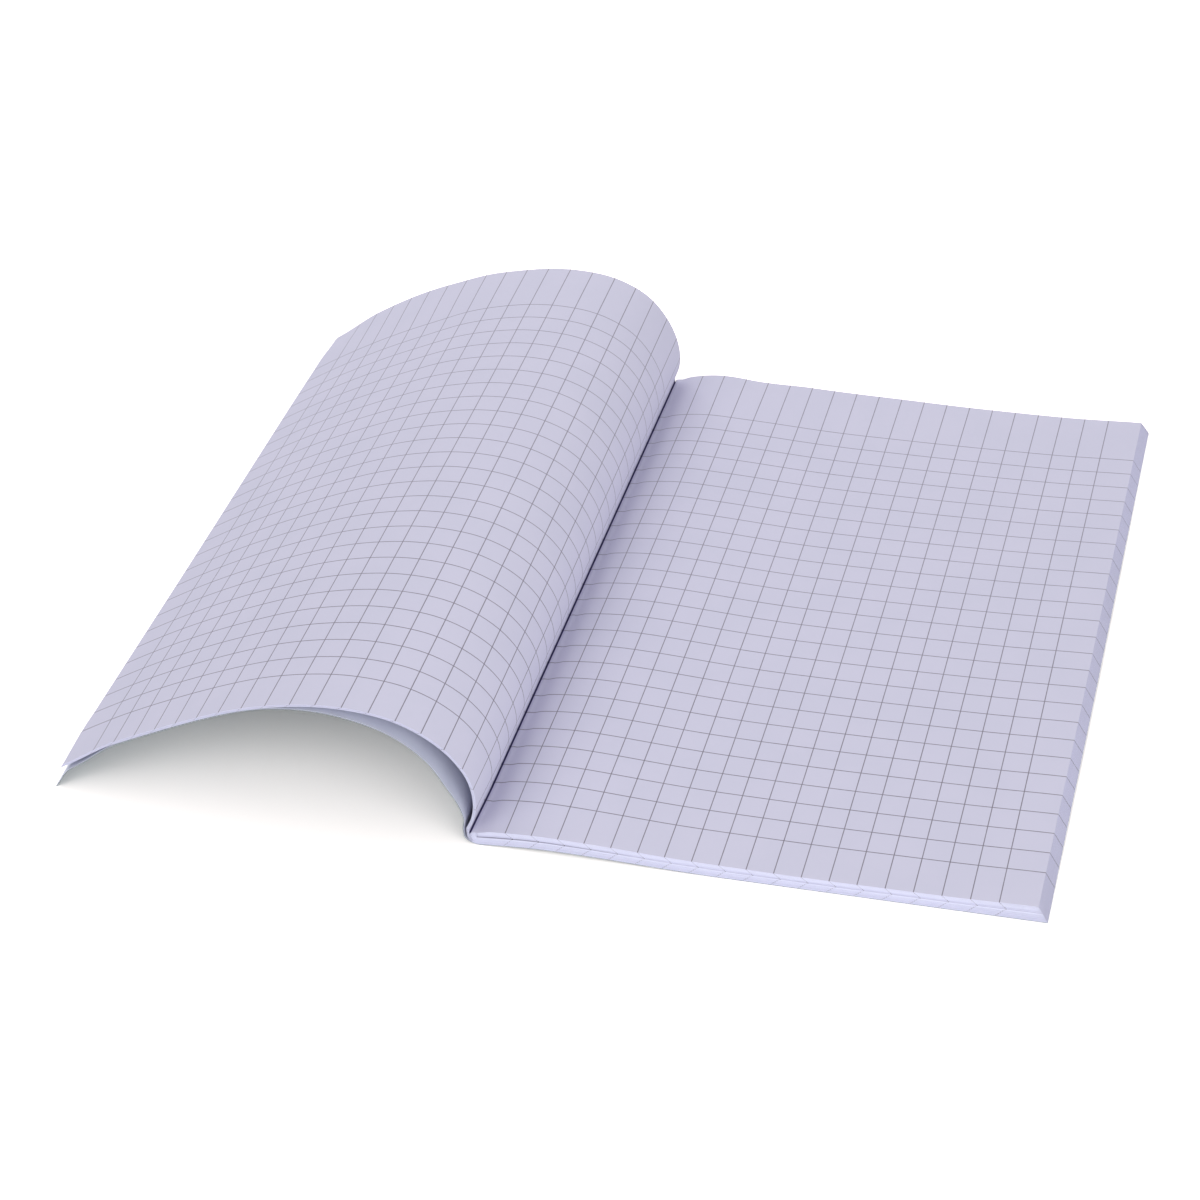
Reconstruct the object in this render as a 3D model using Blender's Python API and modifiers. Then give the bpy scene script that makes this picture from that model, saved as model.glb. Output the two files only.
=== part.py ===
"""Stapled exercise book lying open on its back cover.

One folded cover and twenty folded sheets are nested at the spine and held by two wire staples.
The book is open after the fifth leaf. The front cover and the first five leaves arch over to the
left and touch the table only at the cover's edge. All the other leaves lie in a block on the right.

Frame while modelling: X runs from the spine to the right-hand edge, Y along the spine, Z up.
A folded sheet is made as two halves, hinged where the paper bends.
"""

import math

import bmesh
import bpy
from mathutils import Matrix

MM = 0.001

# Driving sizes, in millimetres and degrees
PAGE_HEIGHT = 297.0
RIGHT_LEAF_WIDTH = 204.0
LEFT_LEAF_WIDTH = 210.0
BLOCK_SHEAR = 3.3
PAPER_THICKNESS = 0.09
COVER_THICKNESS = 0.30

SHEET_COUNT = 20
LEAVES_ON_LEFT = 5
RIGHT_PITCH = 0.17
LEFT_PITCH = 0.20

# The low swell of the block beside the spine
SWELL_PEAK = 28.0
SWELL_FALL = 65.0
SWELL_HEIGHT = 1.65
SWELL_EXTRA_PITCH = 0.03
CENTRE_GAP = 1.0
CENTRE_GAP_REACH = 75.0
BLOCK_STEP = 10.0

# The folds at the spine
INNER_FOLD_REACH = 0.35
FOLD_PITCH = 0.125
COVER_FOLD_REACH = 5.0
LEFT_FOLD_CLEARANCE = 0.25
COVER_FOLD_STEPS = 8
LEFT_FOLD_STEPS = 6
RIGHT_FOLD_STEPS = 10
CREASE_HEIGHT = 7.3
HINGE_GAP = 0.3

# The arch of the left-hand pages: heading of the paper at shares of its width
ARCH_HEADINGS = ((0.0, 61.4), (0.095, 99.5), (0.214, 139.1), (0.333, 170.8),
                 (0.452, 187.0), (0.619, 200.5), (1.0, 211.0))
ARCH_STEP = 9.0

# The front cover under the left-hand leaves
COVER_CLEARANCE = 0.32
CRESCENT_DEPTH = 9.7
CRESCENT_PEAK = 28.0
CRESCENT_RISE = 30.0
CRESCENT_FALL = 92.0
EDGE_GAP = 2.0
EDGE_GAP_START = 150.0
FLAP_HEADING_START = 222.0
FLAP_HEADING_END = 245.0
FLAP_STEP = 3.0
FLAP_TURN = 5.0

# The two staples
STAPLE_SPACING = 160.0
STAPLE_WIDTH = 12.0
STAPLE_CLINCH = 4.2
STAPLE_BEND = 0.6
WIRE_RADIUS = 0.25
WIRE_CLEARANCE = 0.1
HOLE_RADIUS = 0.5
HOLE_SIDES = 6

# Derived sizes
RIGHT_SHEETS = SHEET_COUNT - LEAVES_ON_LEFT
FOLD_HEIGHT = COVER_THICKNESS + SHEET_COUNT * RIGHT_PITCH + CENTRE_GAP / 2
OUTER_RIGHT_FOLD = INNER_FOLD_REACH + (RIGHT_SHEETS - 1) * FOLD_PITCH
INNER_LEFT_FOLD = OUTER_RIGHT_FOLD + LEFT_FOLD_CLEARANCE
LEFT_STACK = (LEAVES_ON_LEFT - 1) * LEFT_PITCH
LEFT_AXIS_REACH = INNER_LEFT_FOLD + LEFT_STACK / 2
BLOCK_EDGE = RIGHT_LEAF_WIDTH + BLOCK_SHEAR


def window(distance, half_width):
    """Smooth bump: 1 at distance 0, falling to 0 at the half width."""
    if abs(distance) >= half_width:
        return 0.0
    return math.cos(0.5 * math.pi * distance / half_width) ** 2


def swell(x):
    """Share of the block's swell at this distance from the spine: a quick rise and a slow fall."""
    if x < SWELL_PEAK:
        return math.sin(0.5 * math.pi * max(0.0, x) / SWELL_PEAK)
    return window(x - SWELL_PEAK, SWELL_FALL)


def block_base(x):
    """Height of the back cover's underside."""
    return SWELL_HEIGHT * swell(x)


def pitch(x):
    """Spacing of the leaves in the block."""
    return RIGHT_PITCH + SWELL_EXTRA_PITCH * swell(x)


def centre_gap(x):
    """Opening between the two halves of the innermost sheet."""
    return CENTRE_GAP * window(x, CENTRE_GAP_REACH)


def back_leaf_height(number, x):
    """Mid-thickness height of a sheet's back leaf, sheet 1 being the outermost."""
    return block_base(x) + COVER_THICKNESS + (number - 0.5) * pitch(x)


def front_leaf_height(number, x):
    """Mid-thickness height of the front leaf of a sheet in the right-hand block."""
    leaves_below = 2 * SHEET_COUNT - number + 0.5
    return block_base(x) + COVER_THICKNESS + leaves_below * pitch(x) + centre_gap(x)


def block_stations(end):
    """Distances from the spine at which a leaf of the block has points: close over the swell."""
    swell_end = SWELL_PEAK + SWELL_FALL
    count = math.ceil(swell_end / BLOCK_STEP)
    near = [swell_end * step / count for step in range(1, count + 1)]
    return sorted({*near, CENTRE_GAP_REACH, end})


def fold_reach(number):
    """How far left of the spine line a sheet's fold lies."""
    if number <= LEAVES_ON_LEFT:
        return INNER_LEFT_FOLD + (LEAVES_ON_LEFT - number) * LEFT_PITCH
    return INNER_FOLD_REACH + (SHEET_COUNT - number) * FOLD_PITCH


def fold_arc(reach, drop, start_deg, end_deg, steps):
    """Points on an ellipse round the fold line, from start to end angle; 270 is straight down."""
    points = []
    for step in range(steps + 1):
        angle = math.radians(start_deg + (end_deg - start_deg) * step / steps)
        points.append((reach * math.cos(angle), FOLD_HEIGHT + drop * math.sin(angle)))
    return points


def heading_at(station):
    """Heading of the arch in radians, by straight interpolation, so the arch is made of tangent arcs."""
    share = station / LEFT_LEAF_WIDTH
    for (s0, h0), (s1, h1) in zip(ARCH_HEADINGS, ARCH_HEADINGS[1:]):
        if share <= s1:
            return math.radians(h0 + (h1 - h0) * (share - s0) / (s1 - s0))
    return math.radians(ARCH_HEADINGS[-1][1])


def arch_frame(station):
    """Point on the uppermost left page and the unit normal that points under the arch."""
    x = -INNER_LEFT_FOLD
    z = CREASE_HEIGHT + HINGE_GAP
    count = max(1, math.ceil(station))
    step = station / count
    for index in range(count):
        heading = heading_at((index + 0.5) * step)
        x += step * math.cos(heading)
        z += step * math.sin(heading)
    heading = heading_at(station)
    return (x, z), (-math.sin(heading), math.cos(heading))


def arch_point(station, depth):
    """Point at a depth under the uppermost left page."""
    (x, z), (nx, nz) = arch_frame(station)
    return (x + depth * nx, z + depth * nz)


def arch_stations(length):
    """Even stations along the arch."""
    count = math.ceil(length / ARCH_STEP)
    return [length * step / count for step in range(count + 1)]


def trimmed(points, length):
    """The polyline cut, or carried straight on, so that it has the given length."""
    kept = [points[0]]
    left = length
    for (x0, z0), (x1, z1) in zip(points, points[1:]):
        span = math.hypot(x1 - x0, z1 - z0)
        last = (x1, z1) == points[-1]
        if span >= left or last:
            share = left / span
            kept.append((x0 + share * (x1 - x0), z0 + share * (z1 - z0)))
            return kept
        kept.append((x1, z1))
        left -= span
    return kept


def cover_depth(station):
    """Depth of the cover under the uppermost left page: a crescent at the spine, a gap at the edge."""
    distance = station - CRESCENT_PEAK
    if distance < 0:
        share = math.cos(0.5 * math.pi * distance / CRESCENT_RISE)
    else:
        share = window(distance, CRESCENT_FALL)
    closed = LEFT_STACK + (PAPER_THICKNESS + COVER_THICKNESS) / 2 + COVER_CLEARANCE
    edge = EDGE_GAP * window(LEFT_LEAF_WIDTH - station, LEFT_LEAF_WIDTH - EDGE_GAP_START)
    return closed + CRESCENT_DEPTH * share + edge


def front_cover_line():
    """The front cover from the crease over the arch and down to its edge on the table."""
    points = [(-COVER_FOLD_REACH, CREASE_HEIGHT + HINGE_GAP)]
    for station in arch_stations(LEFT_LEAF_WIDTH)[1:]:
        points.append(arch_point(station, cover_depth(station)))
    x, z = points[-1]
    rest = COVER_THICKNESS / 2 * abs(math.cos(math.radians(FLAP_HEADING_END)))
    heading = FLAP_HEADING_START
    while z > rest:
        dx = FLAP_STEP * math.cos(math.radians(heading))
        dz = FLAP_STEP * math.sin(math.radians(heading))
        share = min(1.0, (rest - z) / dz)
        x += share * dx
        z += share * dz
        points.append((x, z))
        heading = min(FLAP_HEADING_END, heading + FLAP_TURN)
    return points


def spine_shift():
    """Shift along X that brings the middle of the book to the origin."""
    left = min(x for x, _ in front_cover_line()) - COVER_THICKNESS / 2 * abs(
        math.sin(math.radians(FLAP_HEADING_END)))
    return -(left + BLOCK_EDGE) / 2


def clear_scene():
    """Remove what a new scene holds."""
    for thing in list(bpy.data.objects):
        bpy.data.objects.remove(thing)


def new_collection(name):
    """Add a collection to the scene."""
    collection = bpy.data.collections.new(name)
    bpy.context.scene.collection.children.link(collection)
    return collection


def make_material(name, colour, roughness, metallic):
    """Plain surface with a colour, a roughness and a metallic value."""
    material = bpy.data.materials.new(name)
    material.use_nodes = True
    shader = material.node_tree.nodes["Principled BSDF"]
    shader.inputs["Base Color"].default_value = (*colour, 1.0)
    shader.inputs["Roughness"].default_value = roughness
    shader.inputs["Metallic"].default_value = metallic
    return material


def make_strip(name, line, thickness, axis, shift, collection):
    """Bent sheet: a line in the XZ plane drawn out along Y and given its thickness.

    The object's origin is the axis, a point in the XZ plane, in the middle of the spine's length.
    """
    axis_x, axis_z = axis
    work = bmesh.new()
    near_row = [
        work.verts.new(((x - axis_x) * MM, -PAGE_HEIGHT / 2 * MM, (z - axis_z) * MM)) for x, z in line
    ]
    edges = [work.edges.new(pair) for pair in zip(near_row, near_row[1:])]
    drawn = bmesh.ops.extrude_edge_only(work, edges=edges)
    far_row = [item for item in drawn["geom"] if isinstance(item, bmesh.types.BMVert)]
    bmesh.ops.translate(work, verts=far_row, vec=(0.0, PAGE_HEIGHT * MM, 0.0))
    mesh = bpy.data.meshes.new(name)
    work.to_mesh(mesh)
    work.free()
    strip = bpy.data.objects.new(name, mesh)
    strip.location = ((axis_x + shift) * MM, 0.0, axis_z * MM)
    collection.objects.link(strip)
    solid = strip.modifiers.new("Thickness", "SOLIDIFY")
    solid.thickness = thickness * MM
    solid.offset = 0.0
    solid.use_even_offset = True
    mesh.shade_smooth()
    return strip


def pierce(target, cutter):
    """Cut the staple holes."""
    cut = target.modifiers.new("Staple holes", "BOOLEAN")
    cut.operation = "DIFFERENCE"
    cut.object = cutter


def leg_positions():
    """Y of each staple leg."""
    return [
        side * STAPLE_SPACING / 2 + leg * STAPLE_WIDTH / 2 for side in (-1, 1) for leg in (-1, 1)
    ]


def make_hole_cutter(shift, collection):
    """Four short bars along X, one for each staple leg."""
    start = -COVER_FOLD_REACH - 2 * HOLE_RADIUS
    end = -INNER_FOLD_REACH / 2
    work = bmesh.new()
    for y in leg_positions():
        bar = bmesh.ops.create_cone(
            work, cap_ends=True, segments=HOLE_SIDES, radius1=HOLE_RADIUS * MM,
            radius2=HOLE_RADIUS * MM, depth=(end - start) * MM)
        bmesh.ops.rotate(work, verts=bar["verts"], matrix=Matrix.Rotation(math.radians(90.0), 3, "Y"))
        bmesh.ops.translate(work, verts=bar["verts"], vec=(0.0, y * MM, 0.0))
    mesh = bpy.data.meshes.new("staple_hole_cutter")
    work.to_mesh(mesh)
    work.free()
    cutter = bpy.data.objects.new("staple_hole_cutter", mesh)
    cutter.location = (((start + end) / 2 + shift) * MM, 0.0, FOLD_HEIGHT * MM)
    cutter.hide_render = True
    cutter.display_type = "WIRE"
    collection.objects.link(cutter)
    return cutter


def make_staple(name, centre_y, shift, collection):
    """Wire staple: crown outside the cover's spine, legs through the folds, ends turned in."""
    outer = -COVER_FOLD_REACH - COVER_THICKNESS / 2 - WIRE_CLEARANCE - WIRE_RADIUS
    inner = -INNER_FOLD_REACH + PAPER_THICKNESS / 2 + WIRE_CLEARANCE + WIRE_RADIUS
    half = STAPLE_WIDTH / 2
    corner = STAPLE_BEND * (1 - math.cos(math.radians(45.0)))
    side = [
        (inner, half - STAPLE_CLINCH),
        (inner, half - STAPLE_BEND),
        (inner - corner, half - corner),
        (inner - STAPLE_BEND, half),
        (outer + STAPLE_BEND, half),
        (outer + corner, half - corner),
        (outer, half - STAPLE_BEND),
    ]
    path = side + [(x, -y) for x, y in reversed(side)]
    wire = bpy.data.curves.new(name, "CURVE")
    wire.dimensions = "3D"
    wire.bevel_depth = WIRE_RADIUS * MM
    wire.bevel_resolution = 2
    wire.use_fill_caps = True
    spline = wire.splines.new("POLY")
    spline.points.add(len(path) - 1)
    for point, (x, y) in zip(spline.points, path):
        point.co = (x * MM, y * MM, 0.0, 1.0)
    staple = bpy.data.objects.new(name, wire)
    staple.location = (shift * MM, centre_y * MM, FOLD_HEIGHT * MM)
    collection.objects.link(staple)
    return staple


def back_cover_line():
    """The back cover from its right-hand edge to the spine and up round the fold to the crease."""
    half = COVER_THICKNESS / 2
    flat = [(x, block_base(x) + half) for x in reversed(block_stations(BLOCK_EDGE))]
    fold = fold_arc(COVER_FOLD_REACH, FOLD_HEIGHT - half, 270.0, 180.0, COVER_FOLD_STEPS)
    return flat + fold + [(-COVER_FOLD_REACH, CREASE_HEIGHT - HINGE_GAP)]


def back_leaf_line(number):
    """A back leaf from its right-hand edge to the spine, with the sheet's fold."""
    height_share = back_leaf_height(number, BLOCK_EDGE) / front_leaf_height(LEAVES_ON_LEFT + 1, BLOCK_EDGE)
    edge = BLOCK_EDGE - BLOCK_SHEAR * height_share
    flat = [(x, back_leaf_height(number, x)) for x in reversed(block_stations(edge))]
    drop = FOLD_HEIGHT - back_leaf_height(number, 0.0)
    reach = fold_reach(number)
    if number <= LEAVES_ON_LEFT:
        fold = fold_arc(reach, drop, 270.0, 180.0, LEFT_FOLD_STEPS)
        return flat + fold + [(-reach, CREASE_HEIGHT - HINGE_GAP)]
    last = math.degrees(math.acos(-HINGE_GAP / 2 / reach))
    return flat + fold_arc(reach, drop, 270.0, last, RIGHT_FOLD_STEPS)


def right_leaf_line(number):
    """A front leaf of the block, from the spine to its right-hand edge."""
    height_share = front_leaf_height(number, BLOCK_EDGE) / front_leaf_height(LEAVES_ON_LEFT + 1, BLOCK_EDGE)
    edge = BLOCK_EDGE - BLOCK_SHEAR * height_share
    return [(x, front_leaf_height(number, x)) for x in [HINGE_GAP / 2] + block_stations(edge)]


def left_leaf_line(number):
    """A front leaf of the left-hand stack, from the crease over the arch."""
    depth = (LEAVES_ON_LEFT - number) * LEFT_PITCH
    points = [arch_point(station, depth) for station in arch_stations(LEFT_LEAF_WIDTH + 2 * ARCH_STEP)]
    return trimmed(points, LEFT_LEAF_WIDTH)


def build():
    """Model the whole book."""
    clear_scene()
    parts = new_collection("notebook")
    cutters = new_collection("cutters")
    shift = spine_shift()
    card = make_material("cover_card", (0.23, 0.33, 0.37), 0.6, 0.0)
    paper = make_material("page_paper", (0.80, 0.80, 0.90), 0.85, 0.0)
    steel = make_material("staple_steel", (0.62, 0.63, 0.65), 0.3, 1.0)
    cutter = make_hole_cutter(shift, cutters)
    spine_axis = (0.0, FOLD_HEIGHT)
    left_axis = (-LEFT_AXIS_REACH, CREASE_HEIGHT)

    back_cover = make_strip(
        "back_cover", back_cover_line(), COVER_THICKNESS, spine_axis, shift, parts)
    back_cover.data.materials.append(card)
    pierce(back_cover, cutter)
    front_cover = make_strip(
        "front_cover", front_cover_line(), COVER_THICKNESS, left_axis, shift, parts)
    front_cover.data.materials.append(card)

    for number in range(1, SHEET_COUNT + 1):
        back_leaf = make_strip(
            f"sheet_{number:02d}_back_leaf", back_leaf_line(number), PAPER_THICKNESS,
            spine_axis, shift, parts)
        back_leaf.data.materials.append(paper)
        pierce(back_leaf, cutter)
        if number <= LEAVES_ON_LEFT:
            line = left_leaf_line(number)
            axis = left_axis
        else:
            line = right_leaf_line(number)
            axis = (0.0, front_leaf_height(number, 0.0))
        front_leaf = make_strip(
            f"sheet_{number:02d}_front_leaf", line, PAPER_THICKNESS, axis, shift, parts)
        front_leaf.data.materials.append(paper)

    for name, side in (("staple_foot", -1), ("staple_head", 1)):
        staple = make_staple(name, side * STAPLE_SPACING / 2, shift, parts)
        staple.data.materials.append(steel)


build()
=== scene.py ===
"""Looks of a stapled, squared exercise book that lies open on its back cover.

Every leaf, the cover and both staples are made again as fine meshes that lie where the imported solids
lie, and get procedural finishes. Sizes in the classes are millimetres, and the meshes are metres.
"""

import logging
import math
import random
from collections.abc import Callable, Sequence
from dataclasses import dataclass
from enum import Enum
from functools import lru_cache

import bmesh
import bpy
from mathutils import Matrix, Vector

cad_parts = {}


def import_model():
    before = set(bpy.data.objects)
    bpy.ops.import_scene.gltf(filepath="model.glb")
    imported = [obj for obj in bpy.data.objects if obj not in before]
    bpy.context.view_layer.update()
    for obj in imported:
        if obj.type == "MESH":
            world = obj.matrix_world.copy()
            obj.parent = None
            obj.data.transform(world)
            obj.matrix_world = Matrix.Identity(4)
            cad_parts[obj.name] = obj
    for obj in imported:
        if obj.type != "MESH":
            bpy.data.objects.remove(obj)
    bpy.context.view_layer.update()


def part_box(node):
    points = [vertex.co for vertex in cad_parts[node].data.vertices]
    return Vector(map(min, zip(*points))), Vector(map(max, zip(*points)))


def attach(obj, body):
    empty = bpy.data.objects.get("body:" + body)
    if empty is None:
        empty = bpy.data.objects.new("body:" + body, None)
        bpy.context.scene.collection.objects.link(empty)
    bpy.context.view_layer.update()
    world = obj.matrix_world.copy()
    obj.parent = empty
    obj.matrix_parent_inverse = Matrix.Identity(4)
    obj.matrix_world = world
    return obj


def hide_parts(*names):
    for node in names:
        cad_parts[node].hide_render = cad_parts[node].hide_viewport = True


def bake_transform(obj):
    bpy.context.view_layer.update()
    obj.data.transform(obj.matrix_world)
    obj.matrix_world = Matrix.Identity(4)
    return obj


MM = 0.001
TINY = 1e-6
SQUARE = 10.0
END = 148.5
X, Y, Z, FROM_MIDDLE = range(4)
PLACE = "sheet_place"
# Painted shade: name of a 0 to 1 mark that darkens the paper deep in the gutter, where the slit at the fold
# lies in shade.
PAINTED_GUTTER_SHADE = "gutter_painted_shade"
EDGE_ROWS = (0.0, 3.0, 6.5, 11.0, 16.0, 22.0, 29.0)
MIDDLE_ROWS_START = 38.0
MIX_INPUTS = (0, 6, 7)
MIX_RESULT = 2
GRAIN = (0.3, 0.7)
LOG = logging.getLogger("notebook")

Point = tuple[float, float]
Span = tuple[float, float]
Triple = tuple[float, float, float]
Course = list[Point]
Socket = bpy.types.NodeSocket
Share = tuple[Callable[[float, float, float], float], int, float, float]
Effects = tuple[tuple[float | Share, ...], ...]


class Half(Enum):
    """Which leaf of a folded sheet is meant."""

    FRONT = "front"
    BACK = "back"


def window(distance: float, half_width: float) -> float:
    """Give a smooth bump.

    Args:
        distance: Distance from the middle of the bump.
        half_width: Distance at which the bump has fallen to nothing.

    Returns:
        1 in the middle, and 0 from the half width on.
    """
    if abs(distance) >= half_width:
        return 0.0
    return math.cos(0.5 * math.pi * distance / half_width) ** 2


def hill(value: float, middle: float, half_width: float) -> float:
    """Give the bump of window() round a middle."""
    return window(value - middle, half_width)


def eased(value: float, start: float, end: float) -> float:
    """Rise smoothly from 0 at the start to 1 at the end."""
    share = min(1.0, max(0.0, (value - start) / (end - start)))
    return share * share * (3.0 - 2.0 * share)


def spaced(start: float, end: float, step: float) -> list[float]:
    """Even values from start to end, both included, no further apart than the step."""
    count = max(1, math.ceil(abs(end - start) / step - TINY))
    return [start + (end - start) * index / count for index in range(count + 1)]


def trimmed(course: Course, length: float) -> Course:
    """Cut a course, or carry it straight on, so that it has the given length.

    Args:
        course: Points across the book.
        length: The length it is to have.

    Returns:
        The points of the cut course.
    """
    kept = [course[0]]
    left = length
    for (x0, z0), (x1, z1) in zip(course, course[1:]):
        span = math.hypot(x1 - x0, z1 - z0)
        if span >= left or (x1, z1) == course[-1]:
            share = left / span
            kept.append((x0 + share * (x1 - x0), z0 + share * (z1 - z0)))
            return kept
        kept.append((x1, z1))
        left -= span
    return kept


def rows_across(start: float, end: float, step: float) -> list[float]:
    """Places of the rows of points along the spine: close together at head and foot, where paper curls."""
    middle = spaced(start + MIDDLE_ROWS_START, end - MIDDLE_ROWS_START, step)
    return [start + value for value in EDGE_ROWS] + middle + [end - value for value in reversed(EDGE_ROWS)]


def lengths(course: Course) -> list[float]:
    """Distance of each point from the first one, along the course."""
    run = [0.0]
    for (x0, z0), (x1, z1) in zip(course, course[1:]):
        run.append(run[-1] + math.hypot(x1 - x0, z1 - z0))
    return run


def beside(course: Course, distance: float) -> Course:
    """Move a course sideways, to the left of its heading."""
    moved = []
    for index, (x, z) in enumerate(course):
        x0, z0 = course[max(0, index - 1)]
        x1, z1 = course[min(len(course) - 1, index + 1)]
        span = math.hypot(x1 - x0, z1 - z0)
        moved.append((x - distance * (z1 - z0) / span, z + distance * (x1 - x0) / span))
    return moved


def placed(name: str, data: bpy.types.ID) -> bpy.types.Object:
    """Make an object and put it in the scene."""
    made = bpy.data.objects.new(name, data)
    bpy.context.scene.collection.objects.link(made)
    return made


def meshed(name: str, work: bmesh.types.BMesh) -> bpy.types.Object:
    """Turn finished mesh work into an object in the scene."""
    mesh = bpy.data.meshes.new(name)
    work.to_mesh(mesh)
    work.free()
    return placed(name, mesh)


@dataclass(frozen=True)
class BookShape:
    """Courses of the paper and the card across the book.

    X runs from the spine line to the right, Y along the spine, from -END to END, and Z up. The sizes are
    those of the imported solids, so each finished piece lies on the solid that it stands for.
    """

    sheets: int = 20
    left_leaves: int = 5
    block_width: float = 204.0
    block_shear: float = 3.3
    left_width: float = 210.0
    card: float = 0.30
    right_pitch: float = 0.17
    left_pitch: float = 0.20
    swell_peak: float = 28.0
    swell_fall: float = 65.0
    swell_height: float = 1.65
    swell_pitch: float = 0.03
    gap: float = 0.55
    gap_reach: float = 75.0
    looseness: float = 0.013
    inner_fold: float = 0.45
    fold_steps: int = 24
    left_fold_steps: int = 12
    cover_fold_steps: int = 16
    fold_end: float = 0.9
    fold_pitch: float = 0.165
    fold_fullness: float = 0.667
    fold_dip: float = 0.26
    fold_dip_reach: float = 5.0
    cover_fold: float = 5.8
    left_clearance: float = 0.25
    crease: float = 7.3
    hinge_gap: float = 0.3
    # Painted shade in the gutter: the height of its top, how soft that top is, and the line left of which
    # it lies.
    painted_shade_top: float = 6.2
    painted_shade_blur: float = 0.2
    painted_shade_right: float = -2.2
    headings: tuple[Point, ...] = ((0.0, 57.5), (0.095, 99.5), (0.214, 139.1), (0.333, 170.8),
                                   (0.452, 187.0), (0.619, 200.5), (1.0, 211.0))
    cover_clearance: float = 0.2
    crescent: float = 9.7
    crescent_peak: float = 28.0
    crescent_rise: float = 30.0
    crescent_fall: float = 92.0
    edge_gap: float = 0.9
    edge_gap_start: float = 180.0
    flap_start: float = 222.0
    flap_end: float = 245.0
    flap_step: float = 3.0
    flap_turn: float = 5.0
    solid_paper: float = 0.09
    edge_lift: float = 1.1
    edge_lift_start: float = 150.0
    first_station: float = 0.6
    fine_start: float = 1.5
    fine_end: float = 96.0
    fine_step: float = 2.5
    coarse_step: float = 6.0
    arch_step: float = 3.0
    arch_spare: float = 18.0

    @property
    def fold_height(self) -> float:
        """Height of the line that the block's folds go round."""
        return self.card + self.sheets * (self.right_pitch + self.looseness) + self.gap / 2

    @property
    def inner_left_fold(self) -> float:
        """How far left of the spine line the uppermost left leaf leaves the fold."""
        fold = self.inner_fold + (self.sheets - self.left_leaves - 1) * self.fold_pitch
        return fold + self.left_clearance

    @property
    def block_edge(self) -> float:
        """Distance of the back cover's edge from the spine line."""
        return self.block_width + self.block_shear

    @property
    def fold_top(self) -> float:
        """Height at which the part of a left-hand sheet, or of the cover, that stays down ends."""
        return self.crease - self.hinge_gap

    def depth(self, number: int) -> float:
        """Depth of a left-hand leaf under the uppermost one."""
        return (self.left_leaves - number) * self.left_pitch

    def swell(self, x: float) -> float:
        """Share of the block's low swell beside the spine: a quick rise and a slow fall."""
        if x < self.swell_peak:
            return math.sin(0.5 * math.pi * max(0.0, x) / self.swell_peak)
        return hill(x, self.swell_peak, self.swell_fall)

    def lift(self, x: float) -> float:
        """How far the block's outer part curls up off the table."""
        return self.edge_lift * eased(x, self.edge_lift_start, self.block_edge) ** 2

    def base(self, x: float) -> float:
        """Height of the back cover's underside."""
        return self.swell_height * self.swell(x) + self.lift(x)

    def rank(self, number: int, half: Half) -> float:
        """How many pitches above the card the middle of a leaf of the block lies."""
        return number - 0.5 if half is Half.BACK else 2 * self.sheets - number + 0.5

    def block_height(self, number: int, half: Half, x: float) -> float:
        """Height of a leaf of the block.

        Args:
            number: Number of the sheet, 1 being the outermost.
            half: Which leaf of it.
            x: Distance from the spine line.

        Returns:
            The height of the middle of its thickness.
        """
        loose = window(x, self.gap_reach)
        pitch = self.right_pitch + self.swell_pitch * self.swell(x) + self.looseness * loose
        gap = self.gap * loose if half is Half.FRONT else 0.0
        return self.base(x) + self.card + self.rank(number, half) * pitch + gap

    def edge(self, number: int, half: Half) -> float:
        """Distance of a leaf's fore-edge from the spine line: the block's edge slants outwards."""
        full = self.card + self.rank(self.left_leaves + 1, Half.FRONT) * self.right_pitch
        place = self.card + self.rank(number, half) * self.right_pitch
        return self.block_edge - self.block_shear * place / full

    def fold_reach(self, number: int) -> float:
        """How far left of the spine line a sheet's fold lies."""
        if number <= self.left_leaves:
            return self.inner_left_fold + self.depth(number)
        return self.inner_fold + (self.sheets - number) * self.fold_pitch

    def fold_arc(self, reach: float, drop: float, last: float, steps: int) -> Course:
        """Points round a fold.

        Args:
            reach: How far left the fold goes.
            drop: How far below the fold line it starts.
            last: Angle in degrees at which it ends; it starts at 270, straight down.
            steps: Number of steps.

        Returns:
            The points from the first to the last angle.
        """
        points = []
        for step in range(steps + 1):
            angle = math.radians(270.0 + (last - 270.0) * step / steps)
            across, up = math.cos(angle), math.sin(angle)
            if up > 0.0:
                across = math.copysign(abs(across) ** self.fold_fullness, across)
                up = up ** self.fold_fullness * (1.0 - self.fold_dip)
            points.append((reach * across, self.fold_height + drop * up))
        return points

    def block_stations(self, end: float) -> list[float]:
        """Distances from the spine line at which a leaf of the block has points."""
        fine = spaced(self.fine_start, self.fine_end, self.fine_step)
        return fine + spaced(self.fine_end, end, self.coarse_step)[1:]

    def heading(self, station: float) -> float:
        """Heading of the uppermost left page, in radians, at a distance along it."""
        share = station / self.left_width
        for (s0, h0), (s1, h1) in zip(self.headings, self.headings[1:]):
            if share <= s1:
                return math.radians(h0 + (h1 - h0) * (share - s0) / (s1 - s0))
        return math.radians(self.headings[-1][1])

    @lru_cache(maxsize=None)
    def arch_frame(self, station: float) -> tuple[Point, Point]:
        """Point on the uppermost left page, and the direction that points under the arch."""
        x = -self.inner_left_fold
        z = self.crease + self.hinge_gap
        count = max(1, math.ceil(station))
        step = station / count
        for index in range(count):
            heading = self.heading((index + 0.5) * step)
            x += step * math.cos(heading)
            z += step * math.sin(heading)
        heading = self.heading(station)
        return (x, z), (-math.sin(heading), math.cos(heading))

    def arch(self, station: float, depth: float) -> Point:
        """Point at a depth under the uppermost left page."""
        (x, z), (nx, nz) = self.arch_frame(station)
        return (x + depth * nx, z + depth * nz)

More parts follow.
